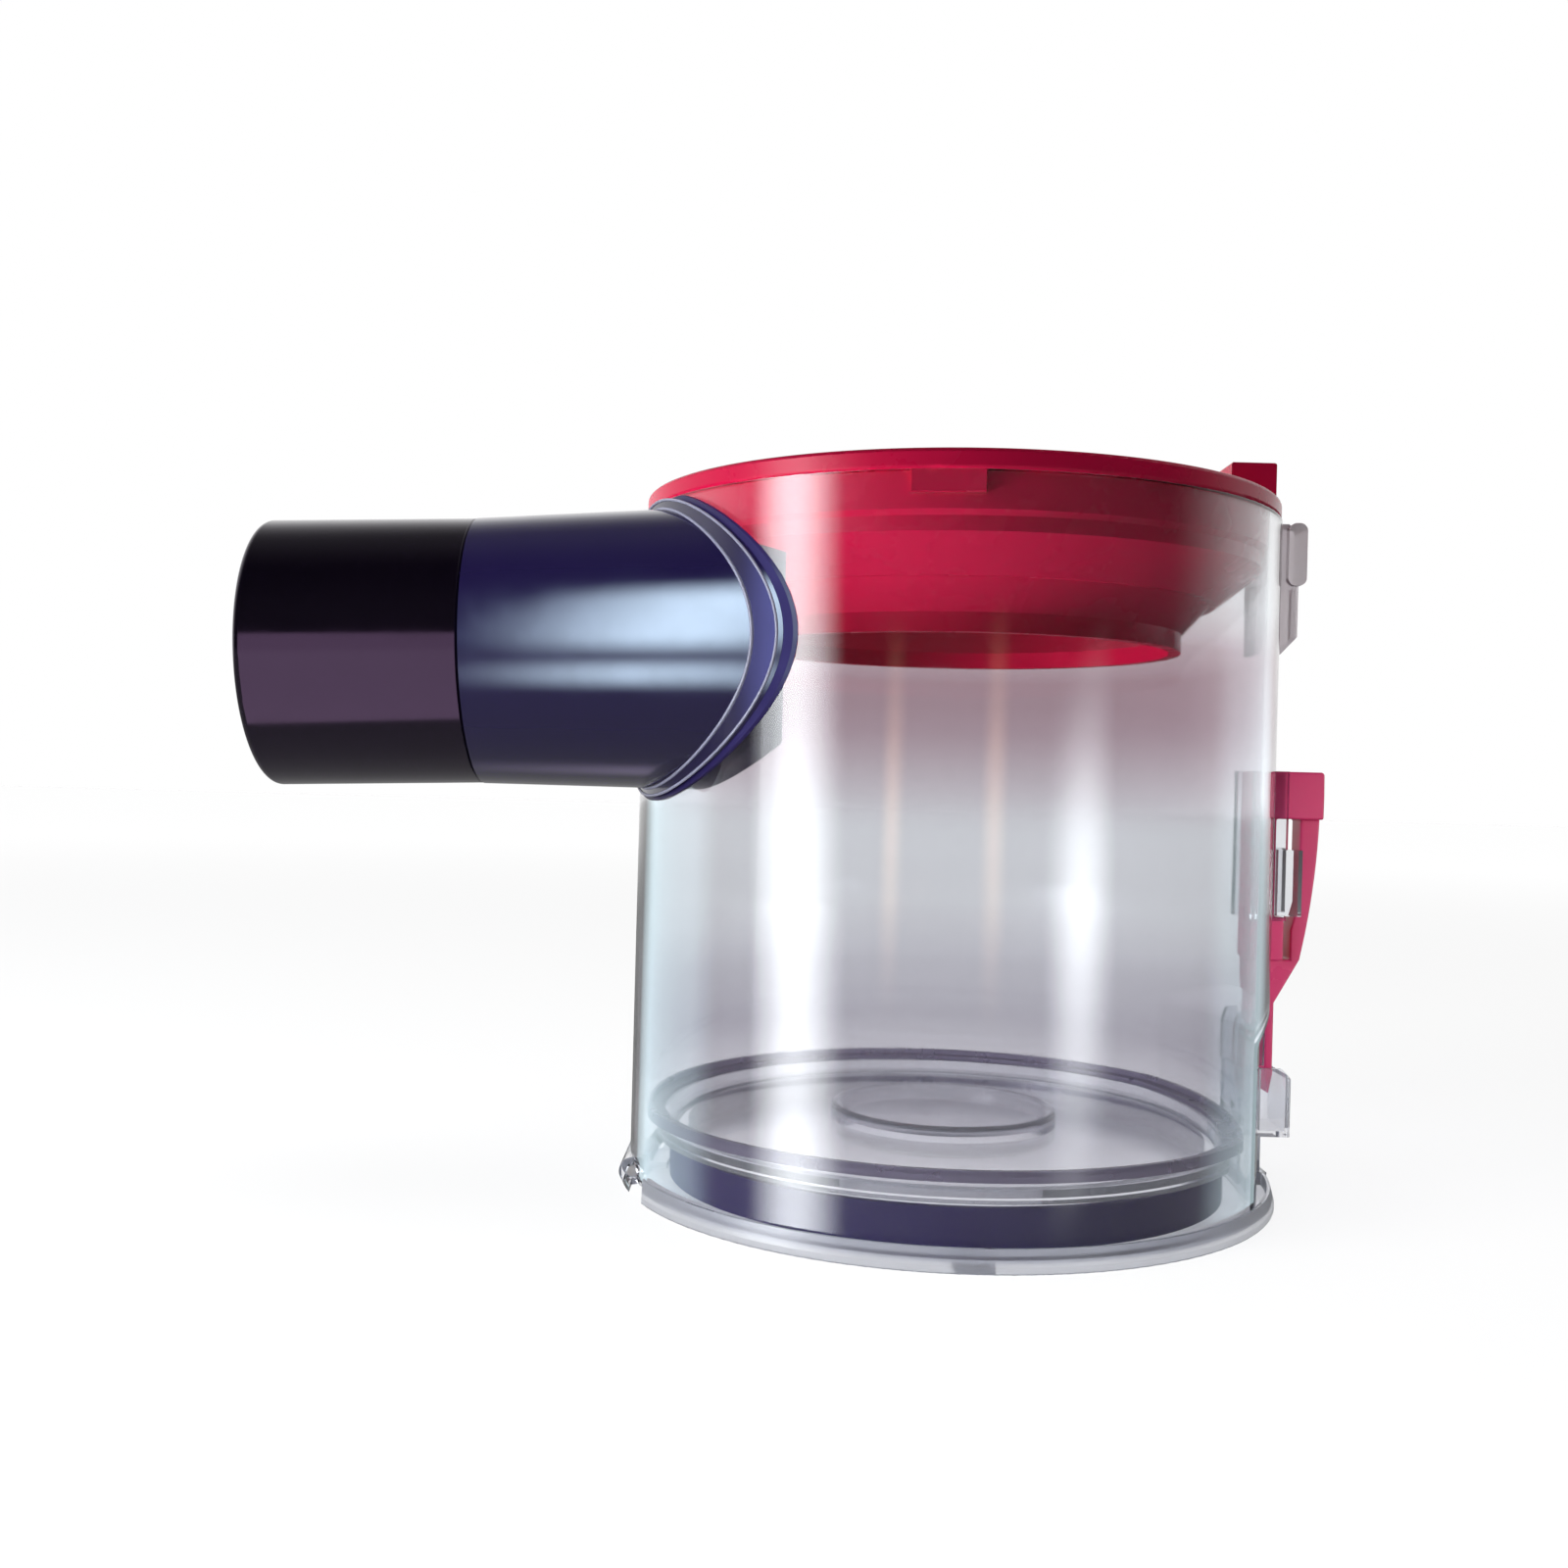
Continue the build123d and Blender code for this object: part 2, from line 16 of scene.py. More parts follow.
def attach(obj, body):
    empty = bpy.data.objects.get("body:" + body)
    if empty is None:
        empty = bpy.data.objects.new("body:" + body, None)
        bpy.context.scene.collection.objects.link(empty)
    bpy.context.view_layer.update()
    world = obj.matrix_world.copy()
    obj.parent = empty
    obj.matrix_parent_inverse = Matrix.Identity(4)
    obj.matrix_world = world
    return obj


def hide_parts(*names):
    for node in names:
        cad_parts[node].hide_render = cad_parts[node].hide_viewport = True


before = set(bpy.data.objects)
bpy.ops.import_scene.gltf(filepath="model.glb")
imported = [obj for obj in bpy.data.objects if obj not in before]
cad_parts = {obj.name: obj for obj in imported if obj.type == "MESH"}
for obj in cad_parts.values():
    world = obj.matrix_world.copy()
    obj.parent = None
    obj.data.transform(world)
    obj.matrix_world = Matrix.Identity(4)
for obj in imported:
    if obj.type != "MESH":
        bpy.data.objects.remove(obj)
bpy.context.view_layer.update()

mm = 0.001
scene = bpy.context.scene
scene.view_settings.view_transform = "Standard"
bpy.ops.object.select_all(action="DESELECT")
print("nodes:", sorted(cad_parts))

# %% [markdown]
# ## Camera
#
# The photograph looks along +Y from about half the height of the bin, slightly rolled. A camera can be
# aimed with a constraint or by hand. Here its place, pitch, roll and lens are written down as found
# from the rims of the ring, the lid and the inlet.

# %% Set the camera
camera_place = Vector((-29.4, -276.74, 68.8)) * mm
camera_pitch = math.radians(-0.11)
camera_roll = math.radians(1.51)
camera_lens = 36.11
camera_sensor = 36
camera_near = 0.01

bpy.ops.object.camera_add(location=camera_place)
camera = bpy.context.object
camera.rotation_euler = (
    Matrix.Rotation(math.radians(90) + camera_pitch, 3, "X") @ Matrix.Rotation(camera_roll, 3, "Z")
).to_euler()
camera.data.sensor_width = camera_sensor
camera.data.lens = camera_lens
camera.data.clip_start = camera_near
scene.camera = camera
print("camera", camera.name, "lens", camera.data.lens)

# %% [markdown]
# ## Helpers for shader nodes
#
# The floor, the surround, the lamps and the finishes are all built from shader nodes. The same few
# joints between nodes come back in each of them. They could be written out every time, but four small
# functions keep the later cells short.

# %% Small helpers for shader nodes
def math_node(tree, kind, first, second):
    """A Math node between two sockets or values."""
    node = tree.nodes.new("ShaderNodeMath")
    node.operation = kind
    for slot, value in zip(node.inputs, (first, second)):
        if isinstance(value, float):
            slot.default_value = value
        else:
            tree.links.new(value, slot)
    return node.outputs[0]


def graded(tree, socket, start, end, low, high):
    """A value that goes smoothly from low to high as the socket goes from start to end."""
    node = tree.nodes.new("ShaderNodeMapRange")
    node.interpolation_type = "SMOOTHSTEP"
    for name, value in zip(("From Min", "From Max", "To Min", "To Max"), (start, end, low, high)):
        node.inputs[name].default_value = value
    tree.links.new(socket, node.inputs["Value"])
    return node.outputs["Result"]


def mixed(tree, share, first, second):
    """Between two values or sockets, by a share from 0 to 1."""
    node = tree.nodes.new("ShaderNodeMix")
    tree.links.new(share, node.inputs["Factor"])
    for name, value in (("A", first), ("B", second)):
        if isinstance(value, float):
            node.inputs[name].default_value = value
        else:
            tree.links.new(value, node.inputs[name])
    return node.outputs["Result"]


def seen_straight(tree):
    """1 for the camera's rays, also through clear plastic, and 0 after any reflection."""
    path = tree.nodes.new("ShaderNodeLightPath").outputs
    direct = math_node(tree, "MAXIMUM", path["Is Camera Ray"], path["Is Transmission Ray"])
    bounces = math_node(tree, "ADD", path["Diffuse Depth"], path["Glossy Depth"])
    return math_node(tree, "MULTIPLY", direct, math_node(tree, "LESS_THAN", bounces, 0.5))


print("helpers ready")

# %% [markdown]
# ## Floor
#
# The bin stands on a plain pale floor. A painted floor alone would render grey, so a glow that only
# straight rays see brings it near white, a little less around the bin, where its soft shadow lies. The
# floor is also partly clear to those rays, like a light table: the lid swings down through the floor's
# plane to empty the drum, and the open lid should show.

# %% Make the floor
floor_side = 8.0
floor_colour = (0.86, 0.86, 0.87, 1)
floor_glow_near, floor_glow_far = 0.60, 0.89
glow_start, glow_end = 0.2, 1.5
floor_clearness = 0.6

bpy.ops.mesh.primitive_plane_add(size=floor_side)
floor = bpy.context.object
floor.name = "floor"
floor.visible_glossy = False

floor_finish = bpy.data.materials.new("pale_floor")
floor_finish.use_nodes = True
tree = floor_finish.node_tree
tree.nodes.clear()
output = tree.nodes.new("ShaderNodeOutputMaterial")
paint = tree.nodes.new("ShaderNodeBsdfDiffuse")
paint.inputs["Color"].default_value = floor_colour
glow = tree.nodes.new("ShaderNodeEmission")
place = tree.nodes.new("ShaderNodeTexCoord")
distance = tree.nodes.new("ShaderNodeVectorMath")
distance.operation = "LENGTH"
tree.links.new(place.outputs["Object"], distance.inputs[0])
reach = graded(tree, distance.outputs["Value"], glow_start, glow_end, floor_glow_near, floor_glow_far)
tree.links.new(math_node(tree, "MULTIPLY", seen_straight(tree), reach), glow.inputs["Strength"])
both = tree.nodes.new("ShaderNodeAddShader")
tree.links.new(paint.outputs[0], both.inputs[0])
tree.links.new(glow.outputs[0], both.inputs[1])
through = tree.nodes.new("ShaderNodeBsdfTransparent")
blend = tree.nodes.new("ShaderNodeMixShader")
clearness = math_node(tree, "MULTIPLY", seen_straight(tree), floor_clearness)
tree.links.new(clearness, blend.inputs["Fac"])
tree.links.new(both.outputs[0], blend.inputs[1])
tree.links.new(through.outputs[0], blend.inputs[2])
tree.links.new(blend.outputs[0], output.inputs["Surface"])
floor.data.materials.append(floor_finish)
print("floor", floor.dimensions[:])

# %% [markdown]
# ## Surround
#
# Around the bin the world is white to the camera, and to rays that have passed through clear plastic.
# Mirror rays see a studio instead. It is pale behind, and dimmer in front, overhead and below, which
# gives glossy plastic its dark side. A picture of a real studio could do this, but a few smooth steps of
# brightness by direction are enough.

# %% Make the surround
ambient_level = 0.11
front_level = 0.05
back_level = 0.95
ceiling_level = 0.12
below_level = 0.28
front_edge, back_edge = -0.35, 0.25
ceiling_start, ceiling_end = 0.45, 0.95
below_start, below_end = 0.0, -0.1

surround = bpy.data.worlds.new("studio")
scene.world = surround
surround.use_nodes = True
tree = surround.node_tree
light = tree.nodes["Background"]
heading = tree.nodes.new("ShaderNodeTexCoord")
parts = tree.nodes.new("ShaderNodeSeparateXYZ")
tree.links.new(heading.outputs["Generated"], parts.inputs[0])
around = graded(tree, parts.outputs["Y"], front_edge, back_edge, front_level, back_level)
overhead = graded(tree, parts.outputs["Z"], ceiling_start, ceiling_end, 1.0, ceiling_level)
upper = math_node(tree, "MULTIPLY", around, overhead)
below = graded(tree, parts.outputs["Z"], below_start, below_end, 0.0, 1.0)
mirrored = mixed(tree, below, upper, below_level)
path = tree.nodes.new("ShaderNodeLightPath")
plain = mixed(tree, path.outputs["Is Glossy Ray"], ambient_level, mirrored)
tree.links.new(mixed(tree, seen_straight(tree), plain, 1.0), light.inputs["Strength"])
light.inputs["Color"].default_value = (1, 1, 1, 1)
print("surround", surround.name)

# %% [markdown]
# ## Rounded slide and hook
#
# The slide and the hook come out of a mould with edges rounded by about a third of a millimetre, and
# those edges draw thin lines of light. They could be modelled again from boxes, but their solids
# already have the right shape. So each solid is copied, its loose triangles are merged, flat triangles
# are dissolved into whole faces, and a Bevel modifier rounds the sharp edges. The copy stands for the
# solid.

# %% Round the slide and the hook
shown = dict(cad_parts)
edge_angle = math.radians(35)
flat_angle = math.radians(1)
merge_distance = 0.002 * mm
bevel_segments = 3


def only(piece):
    """Make one object the only selected one."""
    bpy.ops.object.select_all(action="DESELECT")
    piece.select_set(True)
    bpy.context.view_layer.objects.active = piece


def softened(node, name, body, rounding):
    """A copy of a solid with rounded edges, which stands for the solid."""
    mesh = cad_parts[node].data.copy()
    mesh.name = name
    piece = bpy.data.objects.new(name, mesh)
    scene.collection.objects.link(piece)
    only(piece)
    bpy.ops.mesh.customdata_custom_splitnormals_clear()
    bpy.ops.object.mode_set(mode="EDIT")
    bpy.ops.mesh.select_all(action="SELECT")
    bpy.ops.mesh.remove_doubles(threshold=merge_distance)
    bpy.ops.mesh.dissolve_limited(angle_limit=flat_angle)
    bpy.ops.mesh.normals_make_consistent(inside=False)
    bpy.ops.object.mode_set(mode="OBJECT")
    bevel = piece.modifiers.new("edges", "BEVEL")
    bevel.width = rounding
    bevel.segments = bevel_segments
    bevel.angle_limit = edge_angle
    bpy.ops.object.modifier_apply(modifier=bevel.name)
    bpy.ops.object.shade_smooth_by_angle(angle=edge_angle)
    flat = piece.modifiers.new("flat_faces", "WEIGHTED_NORMAL")
    flat.keep_sharp = True
    bpy.ops.object.modifier_apply(modifier=flat.name)
    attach(piece, body)
    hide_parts(node)
    shown[node] = piece
    print(name, len(piece.data.polygons), "faces")


softened("release_slide", "soft_release_slide", "slide", 0.35 * mm)
softened("rear_hook", "soft_rear_hook", "bin", 0.3 * mm)

# %% [markdown]
# ## Beads around the neck
#
# Where the duct meets its saddle, and along the saddle's edge, the moulding ends in a thin rounded bead
# that shows as a bright line; the bead's pale colour is a painted highlight that draws that line. Its
# path is the line where a cone, the duct's neck, meets the saddle's round face. It could be drawn point
# by point, but crossing the two forms with Intersect gives the line itself. The rest is deleted, and a
# curve with a round section runs along the line.

# %% Run the beads
inlet_start = Vector((0, -20, 91.4)) * mm
inlet_droop = math.radians(2)
inlet_heading = Vector((-math.cos(inlet_droop), 0, -math.sin(inlet_droop)))
neck_from, neck_to = 20 * mm, 78.9 * mm
neck_end_radius, neck_taper = 21.5 * mm, 0.03835
saddle_face = 55.45 * mm
saddle_length = 80 * mm
saddle_sides, neck_sides = 256, 160
point_spacing = 0.25 * mm


def neck_bead(name, grow, shift, thickness):
    """A thin bead where the neck, grown and shifted towards the front, meets the saddle."""
    middle = inlet_start + inlet_heading * (neck_from + neck_to) / 2 - Vector((0, shift, 0))
    turn = inlet_heading.to_track_quat("Z", "Y").to_euler()
    bpy.ops.object.select_all(action="DESELECT")
    bpy.ops.mesh.primitive_cylinder_add(
        vertices=saddle_sides, radius=saddle_face, depth=saddle_length, end_fill_type="NOTHING",
        location=(0, 0, inlet_start.z))
    bead = bpy.context.object
    bead.name = name
    bpy.ops.object.mode_set(mode="EDIT")
    bpy.ops.mesh.select_mode(type="EDGE")
    bpy.ops.mesh.select_all(action="DESELECT")
    bpy.ops.mesh.primitive_cone_add(
        vertices=neck_sides, radius1=neck_end_radius + neck_taper * (neck_to - neck_from) + grow,
        radius2=neck_end_radius + grow, depth=neck_to - neck_from, end_fill_type="NOTHING",
        location=middle, rotation=turn)
    bpy.ops.mesh.intersect(mode="SELECT_UNSELECT", separate_mode="NONE")
    bpy.ops.mesh.select_all(action="INVERT")
    bpy.ops.mesh.delete(type="EDGE")
    bpy.ops.mesh.select_all(action="SELECT")
    bpy.ops.mesh.delete_loose(use_verts=True, use_edges=False, use_faces=False)
    bpy.ops.mesh.remove_doubles(threshold=point_spacing)
    bpy.ops.mesh.vertices_smooth(factor=0.5, repeat=3)
    bpy.ops.object.mode_set(mode="OBJECT")
    bpy.ops.object.transform_apply(location=True, rotation=True, scale=True)
    bpy.ops.object.convert(target="CURVE")
    bead.data.bevel_depth = thickness / 2
    bead.data.bevel_resolution = 2
    bead.data.use_fill_caps = True
    bpy.ops.object.convert(target="MESH")
    bpy.ops.object.shade_smooth()
    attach(bead, "bin")
    print(name, len(bead.data.polygons), "faces")
    return bead


beads = [
    neck_bead("neck_bead", 0.0, 0.0, 0.6 * mm),
    neck_bead("saddle_bead", 1.2 * mm, 1.4 * mm, 0.5 * mm),
]

# %% [markdown]
# ## Lights
#
# A tall window to the left draws the white strip down the drum, and a low one to the right the second
# strip. Two small warm lamps leave the faint glints between them, and two wide panels above and behind
# only soften the shade. A plain area light has hard edges in a mirror, so each lamp fades towards its
# own border, as a curtained window does. Its power is worked out from the brightness that it should
# have in a mirror.

# %% Hang the windows and small lamps
drum_middle = Vector((0, 0, 60)) * mm


def fade_edges(tree, place, feather):
    """1 in the middle of a lamp and 0 on its border, over a share of its width."""
    across = math_node(tree, "MINIMUM", place, math_node(tree, "SUBTRACT", 1.0, place))
    return graded(tree, across, 0.0, feather, 0.0, 1.0)


def soft_light(name, place, target, size, brightness, colour, lean=0, feather=(0.5, 0.5)):
    """A lamp that faces a target and fades to its border, with its brightness as seen in a mirror."""
    bpy.ops.object.light_add(type="AREA", location=place)
    lamp = bpy.context.object
    lamp.name = name
    lamp.data.shape = "RECTANGLE"
    lamp.data.size, lamp.data.size_y = size
    lamp.data.energy = math.pi * size[0] * size[1] * brightness
    lamp.data.color = colour
    turn = (target - lamp.location).to_track_quat("-Z", "Y")
    lamp.rotation_euler = (turn @ Quaternion((0, 0, 1), math.radians(lean))).to_euler()
    lamp.visible_camera = False
    lamp.visible_transmission = False
    lamp.data.use_nodes = True
    tree = lamp.data.node_tree
    parts = tree.nodes.new("ShaderNodeSeparateXYZ")
    tree.links.new(tree.nodes.new("ShaderNodeNewGeometry").outputs["Parametric"], parts.inputs[0])
    fades = [fade_edges(tree, parts.outputs[axis], share) for axis, share in zip("XY", feather)]
    tree.links.new(math_node(tree, "MULTIPLY", *fades), tree.nodes["Emission"].inputs["Strength"])
    print(name, "power", round(lamp.data.energy, 3))
    return lamp


cool, warm, white = (0.93, 0.97, 1.0), (1.0, 0.62, 0.38), (1.0, 0.98, 0.96)
left_window_place, left_window_size = (-0.597, -0.368, 0.03), (0.48, 0.72)
window_lean = 12.5
window_feather = (0.5, 0.1)
windows = [
    soft_light("left_window", left_window_place, drum_middle, left_window_size, 18.0, cool,
               window_lean, window_feather),
    soft_light("right_window", (0.427, -0.559, -0.01), drum_middle, (0.34, 0.34), 13.0, cool,
               window_lean),
    soft_light("left_glint", (-0.325, -0.70, 0.051), drum_middle, (0.13, 0.26), 4.4, warm),
    soft_light("right_glint", (0.098, -0.70, 0.054), drum_middle, (0.13, 0.26), 4.2, warm),
]
top_panel = soft_light("top_panel", (0.0, -0.1, 0.9), drum_middle, (0.8, 0.8), 3.0, white)
back_panel = soft_light("back_panel", (0.25, 0.85, 0.35), drum_middle, (0.8, 0.8), 8.0, white)
for panel in (top_panel, back_panel):
    panel.visible_glossy = False

# %% [markdown]
# ## Linked panels
#
# The inlet, the ring and the rear hardware mirror panels that the drum does not show, and the inlet and
# the ring do not show the drum's windows. More lamps in the open would put more strips on the drum.
# Light linking keeps them apart: a lamp gets a collection of the objects that it reaches, or of those
# that it spares.

# %% Hang the panels for the inlet and the rear
duct_middle = Vector((-60, -40, 90)) * mm
sleeve_middle = Vector((-96, -41, 88)) * mm
slide_middle = Vector((60, 0, 45)) * mm


def piece_group(name, nodes):
    """A collection of solids that lamps can be linked to."""
    group = bpy.data.collections.new(name)
    for node in nodes:
        group.objects.link(shown[node])
    return group


duct_group = piece_group("duct_pieces", ["inlet_duct", "inlet_gasket"])
sleeve_group = piece_group("sleeve_pieces", ["inlet_sleeve"])
rear_group = piece_group("rear_pieces", ["release_slide", "rear_hook"])
ring_group = piece_group("ring_pieces", ["cyclone_ring"])
clear_group = piece_group("clear_pieces", ["bin_body"])
spared_group = piece_group(
    "spared_pieces", ["inlet_duct", "inlet_gasket", "inlet_sleeve", "cyclone_ring"])
for entry in spared_group.collection_objects:
    entry.light_linking.link_state = "EXCLUDE"
for lamp in windows:
    lamp.light_linking.receiver_collection = spared_group
back_panel.light_linking.receiver_collection = piece_group("all_pieces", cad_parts)

pale_blue, mauve, violet = (0.76, 0.97, 1.0), (1.0, 0.72, 1.0), (0.40, 0.44, 1.0)
sky, lilac = (0.70, 0.92, 1.0), (0.80, 0.68, 1.0)
linked = [
    (soft_light("duct_panel", (-0.125, -0.59, 0.30), duct_middle, (0.24, 0.80), 17.0, pale_blue,
                feather=(0.5, 0.35)), duct_group),
    (soft_light("duct_low_panel", (-0.13, -0.55, -0.14), duct_middle, (0.22, 0.34), 12.0, pale_blue),
     duct_group),
    (soft_light("duct_under_panel", (-0.06, 0.30, -0.45), duct_middle, (0.4, 0.3), 1.0, lilac),
     duct_group),
    (soft_light("saddle_panel", (-0.59, -0.255, 0.15), duct_middle, (0.4, 0.6), 4.0, violet),
     duct_group),
    (soft_light("sleeve_panel", (-0.21, -0.38, -0.09), sleeve_middle, (0.30, 0.65), 1.5, mauve,
                feather=(0.2, 0.06)), sleeve_group),
    (soft_light("rear_panel", (0.50, -0.35, 0.15), slide_middle, (0.5, 0.5), 5.0, white), rear_group),
    (soft_light("left_wash", (-0.80, 0.45, -0.12), drum_middle, (1.1, 0.9), 3.0, sky,
                feather=(0.3, 0.3)), clear_group),
    (soft_light("right_wash", (0.85, 0.40, -0.12), drum_middle, (1.0, 0.9), 1.6, sky,
                feather=(0.3, 0.3)), clear_group),
    (soft_light("ring_glint", left_window_place, drum_middle, left_window_size, 12.0, cool,
                window_lean, window_feather), ring_group),
    (soft_light("ring_panel", (-0.75, -0.08, -0.27), drum_middle, (0.6, 0.6), 34.0, white), ring_group),
]
for lamp, group in linked:
    lamp.light_linking.receiver_collection = group
ring_glint, ring_panel = linked[-2][0], linked[-1][0]
ring_glint.visible_diffuse = False
ring_panel.visible_glossy = False
ring_panel.light_linking.blocker_collection = ring_group
print("linked", len(linked), "lamps")

# %% [markdown]
# ## Finishes
#
# Each finish is one Principled shader. A little noise on the object's own coordinates varies the
# roughness, as moulding and handling do, and a faint bump breaks the highlights.

# %% Start a finish
noise_low, noise_high = 0.35, 0.65


def new_finish(name):
    """A material with a Principled shader, and its node tree."""
    finish = bpy.data.materials.new(name)
    finish.use_nodes = True
    return finish, finish.node_tree, finish.node_tree.nodes["Principled BSDF"]


def add_noise(tree, scale, detail):
    """Noise on the object's own coordinates, with its scale per metre."""
    place = tree.nodes.new("ShaderNodeTexCoord")
    noise = tree.nodes.new("ShaderNodeTexNoise")
    noise.inputs["Scale"].default_value = scale
    noise.inputs["Detail"].default_value = detail
    tree.links.new(place.outputs["Object"], noise.inputs["Vector"])
    return noise.outputs["Fac"]


print("noise runs from about", noise_low, "to", noise_high)

# %% Vary a finish
def vary_roughness(tree, shader, noise, low, high):
    """Roughness between two values, by a noise."""
    spread = tree.nodes.new("ShaderNodeMapRange")
    spread.inputs["From Min"].default_value = noise_low
    spread.inputs["From Max"].default_value = noise_high
    spread.inputs["To Min"].default_value = low
    spread.inputs["To Max"].default_value = high
    tree.links.new(noise, spread.inputs["Value"])
    tree.links.new(spread.outputs["Result"], shader.inputs["Roughness"])


def add_bump(tree, shader, noise, depth):
    """A faint unevenness of the surface, with its depth in metres."""
    bump = tree.nodes.new("ShaderNodeBump")
    bump.inputs["Strength"].default_value = 1.0
    bump.inputs["Distance"].default_value = depth
    tree.links.new(noise, bump.inputs["Height"])
    tree.links.new(bump.outputs["Normal"], shader.inputs["Normal"])


def vary_colour(tree, shader, noise, first, second):
    """Base colour between two near shades, by a noise."""
    ramp = tree.nodes.new("ShaderNodeMix")
    ramp.data_type = "RGBA"
    ramp.inputs["A"].default_value = (*first, 1)
    ramp.inputs["B"].default_value = (*second, 1)
    tree.links.new(noise, ramp.inputs["Factor"])
    tree.links.new(ramp.outputs["Result"], shader.inputs["Base Color"])


print("finish helpers ready")

# %% [markdown]
# ## Clear plastic
#
# The drum, the lid and the hook are clear mouldings. The drum's tint changes with height: it is darker
# under the ring and above the lid, which is painted shade, and pinkish under the ring, which is a
# painted reflection of the crimson ring. The lid's tint is darker at its rim, also painted shade. Real
# clear plastic passes light to what is inside, but a path tracer finds that light slowly. So shadow rays
# pass straight through, only tinted, and the shader's transmission does the rest. The lid's rim is a
# little frosted.

# %% Make the clear plastic
tint_top = 120
plastic_bend = 1.49
clear_shade = (0.84, 0.86, 0.90, 1)
frost_from, frost_to = 3 * mm, 5.5 * mm
clear_waviness = 0.03 * mm


def clear_plastic(name, tints, haze, low, high, frost=0.0):
    """Clear moulded plastic, tinted by height in millimetres, that lets light through to the inside.

    Frost is added to the roughness at the height of the lid's rim."""
    finish, tree, shader = new_finish(name)
    place = tree.nodes.new("ShaderNodeTexCoord")
    parts = tree.nodes.new("ShaderNodeSeparateXYZ")
    tree.links.new(place.outputs["Object"], parts.inputs["Vector"])
    height = tree.nodes.new("ShaderNodeMapRange")
    height.inputs["From Max"].default_value = tint_top * mm
    tree.links.new(parts.outputs["Z"], height.inputs["Value"])
    ramp = tree.nodes.new("ShaderNodeValToRGB")
    while len(ramp.color_ramp.elements) < len(tints):
        ramp.color_ramp.elements.new(0.5)
    for stop, (level, tint) in zip(ramp.color_ramp.elements, tints):
        stop.position = level / tint_top
        stop.color = (*tint, 1)
    tree.links.new(height.outputs["Result"], ramp.inputs["Fac"])
    tree.links.new(ramp.outputs["Color"], shader.inputs["Base Color"])
    shader.inputs["Transmission Weight"].default_value = 1 - haze
    shader.inputs["IOR"].default_value = plastic_bend
    vary_roughness(tree, shader, add_noise(tree, 90, 4), low, high)
    if frost:
        plain = shader.inputs["Roughness"].links[0].from_socket
        frosted = graded(tree, parts.outputs["Z"], frost_from, frost_to, frost, 0.0)
        tree.links.new(math_node(tree, "ADD", plain, frosted), shader.inputs["Roughness"])
    add_bump(tree, shader, add_noise(tree, 60, 1), clear_waviness)
    through = tree.nodes.new("ShaderNodeBsdfTransparent")
    through.inputs["Color"].default_value = clear_shade
    path = tree.nodes.new("ShaderNodeLightPath")
    either = tree.nodes.new("ShaderNodeMixShader")
    tree.links.new(path.outputs["Is Shadow Ray"], either.inputs["Fac"])
    tree.links.new(shader.outputs["BSDF"], either.inputs[1])
    tree.links.new(through.outputs["BSDF"], either.inputs[2])
    tree.links.new(either.outputs["Shader"], tree.nodes["Material Output"].inputs["Surface"])
    return finish


# The darker bands at 21 to 32 mm and 80 to 90 mm are painted shade; the pink in the upper band is a
# painted reflection of the crimson ring.
drum_tints_painted_shade = [
    (0, (0.85, 0.85, 0.88)), (13, (0.85, 0.85, 0.88)),
    (21, (0.63, 0.62, 0.67)), (32, (0.645, 0.635, 0.685)),
    (45, (0.81, 0.82, 0.85)), (62, (0.81, 0.82, 0.85)),
    (80, (0.61, 0.52, 0.565)), (90, (0.61, 0.51, 0.55)),
    (98, (0.87, 0.87, 0.89)), (120, (0.87, 0.87, 0.89)),
]
# The darker tint at the lid's rim, below 8 mm, is painted shade.
lid_tints_painted_shade = [
    (0, (0.74, 0.75, 0.80)), (4, (0.77, 0.78, 0.83)),
    (8, (0.94, 0.94, 0.96)), (20, (0.94, 0.94, 0.96)),
]
hook_tints = [(90, (0.70, 0.65, 0.68)), (120, (0.70, 0.65, 0.68))]
drum_clear = clear_plastic("drum_clear", drum_tints_painted_shade, 0.003, 0.015, 0.05)
lid_clear = clear_plastic("lid_clear", lid_tints_painted_shade, 0.10, 0.03, 0.08, frost=0.28)
hook_clear = clear_plastic("hook_clear", hook_tints, 0.4, 0.10, 0.18)
print("clear finishes:", drum_clear.name, lid_clear.name, hook_clear.name)

# %% [markdown]
# ## Opaque plastics, rubber and steel
#
# The ring and the slide are crimson, the duct is a dark aubergine with a high gloss, and the sleeve is
# nearly black. The seals are dark rubber, the lip a thinner one that lets some light through. One
# helper makes them all, because on the real part they differ in colour and gloss more than in kind.
# Gloss that a clear top layer gives, on the duct and the sleeve, is the shader's coat.

# %% Make the opaque plastics
grain_depth = 0.01 * mm


def moulded_plastic(name, first, second, low, high):
    """Opaque glossy plastic with a slight change of shade."""
    finish, tree, shader = new_finish(name)
    vary_colour(tree, shader, add_noise(tree, 25, 2), first, second)
    vary_roughness(tree, shader, add_noise(tree, 120, 4), low, high)
    add_bump(tree, shader, add_noise(tree, 300, 2), grain_depth)
    return finish, shader


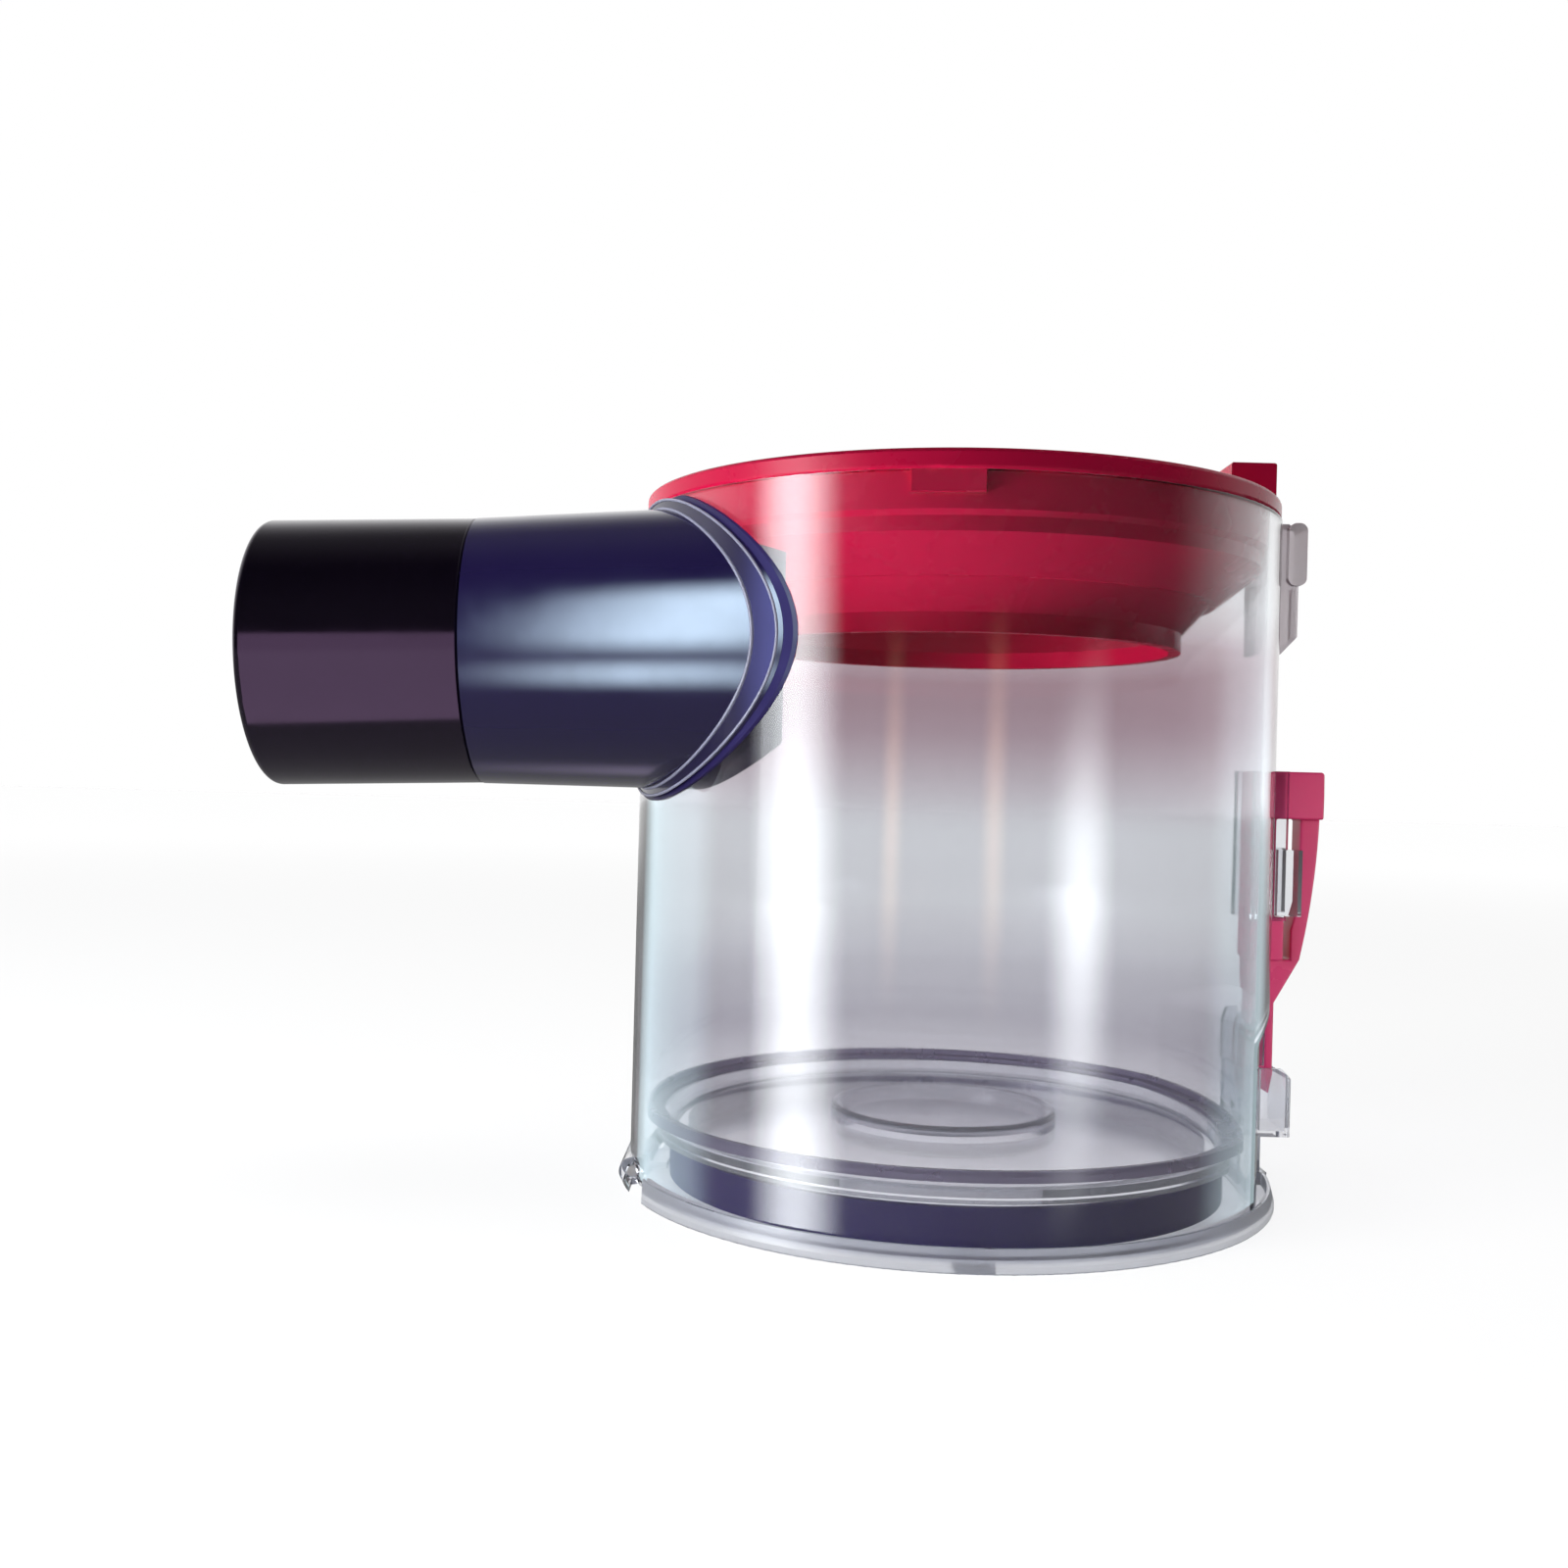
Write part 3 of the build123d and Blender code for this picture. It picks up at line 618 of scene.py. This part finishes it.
ring_red, shader = moulded_plastic(
    "ring_red", (0.60, 0.004, 0.055), (0.64, 0.005, 0.064), 0.20, 0.30)
shader.inputs["Specular IOR Level"].default_value = 0.2
slide_red, _ = moulded_plastic(
    "slide_red", (0.64, 0.024, 0.125), (0.68, 0.028, 0.138), 0.26, 0.36)
sleeve_dark, shader = moulded_plastic(
    "sleeve_dark", (0.006, 0.004, 0.010), (0.008, 0.005, 0.013), 0.10, 0.16)
shader.inputs["Specular Tint"].default_value = (0.85, 0.65, 1.0, 1)
shader.inputs["Coat Weight"].default_value = 0.2
shader.inputs["Coat Roughness"].default_value = 0.06
duct_aubergine, shader = moulded_plastic(
    "duct_aubergine", (0.012, 0.007, 0.040), (0.016, 0.009, 0.048), 0.12, 0.20)
shader.inputs["Specular Tint"].default_value = (0.72, 0.72, 1.0, 1)
shader.inputs["Coat Weight"].default_value = 0.6
shader.inputs["Coat Roughness"].default_value = 0.05
# The beads' pale lilac grey is a painted highlight: the real bead is the duct's dark plastic.
bead_painted_highlight, _ = moulded_plastic(
    "bead_painted_highlight", (0.26, 0.26, 0.36), (0.31, 0.31, 0.42), 0.20, 0.30)
print("plastics:", ring_red.name, slide_red.name, sleeve_dark.name, duct_aubergine.name, bead_painted_highlight.name)

# %% Make the rubber and the steel
seal_rubber, _ = moulded_plastic(
    "seal_rubber", (0.018, 0.007, 0.080), (0.023, 0.009, 0.095), 0.35, 0.50)
lip_rubber, shader = moulded_plastic(
    "lip_rubber", (0.31, 0.27, 0.38), (0.34, 0.30, 0.42), 0.25, 0.35)
shader.inputs["Transmission Weight"].default_value = 0.75
pin_steel, shader = moulded_plastic(
    "pin_steel", (0.78, 0.78, 0.80), (0.84, 0.84, 0.86), 0.34, 0.46)
shader.inputs["Metallic"].default_value = 1.0
print("rubber and steel:", seal_rubber.name, lip_rubber.name, pin_steel.name)

# %% [markdown]
# ## Finishes on the pieces
#
# Each solid already has a material slot, so its finish goes into that slot and the mesh stays as it is.
# The rounded copies of the slide and the hook take theirs in the same way, and each bead gets a slot of
# its own.

# %% Give the pieces their finish
finishes = {
    "bin_body": drum_clear, "lid": lid_clear, "rear_hook": hook_clear, "cyclone_ring": ring_red,
    "release_slide": slide_red, "inlet_sleeve": sleeve_dark, "inlet_duct": duct_aubergine,
    "inlet_gasket": seal_rubber, "lid_band_seal": seal_rubber, "lid_lip_seal": lip_rubber,
    "hinge_pin": pin_steel,
}
for node, finish in finishes.items():
    shown[node].material_slots[0].material = finish
for bead in beads:
    bead.data.materials.append(bead_painted_highlight)
print("finished", len(finishes) + len(beads), "pieces")
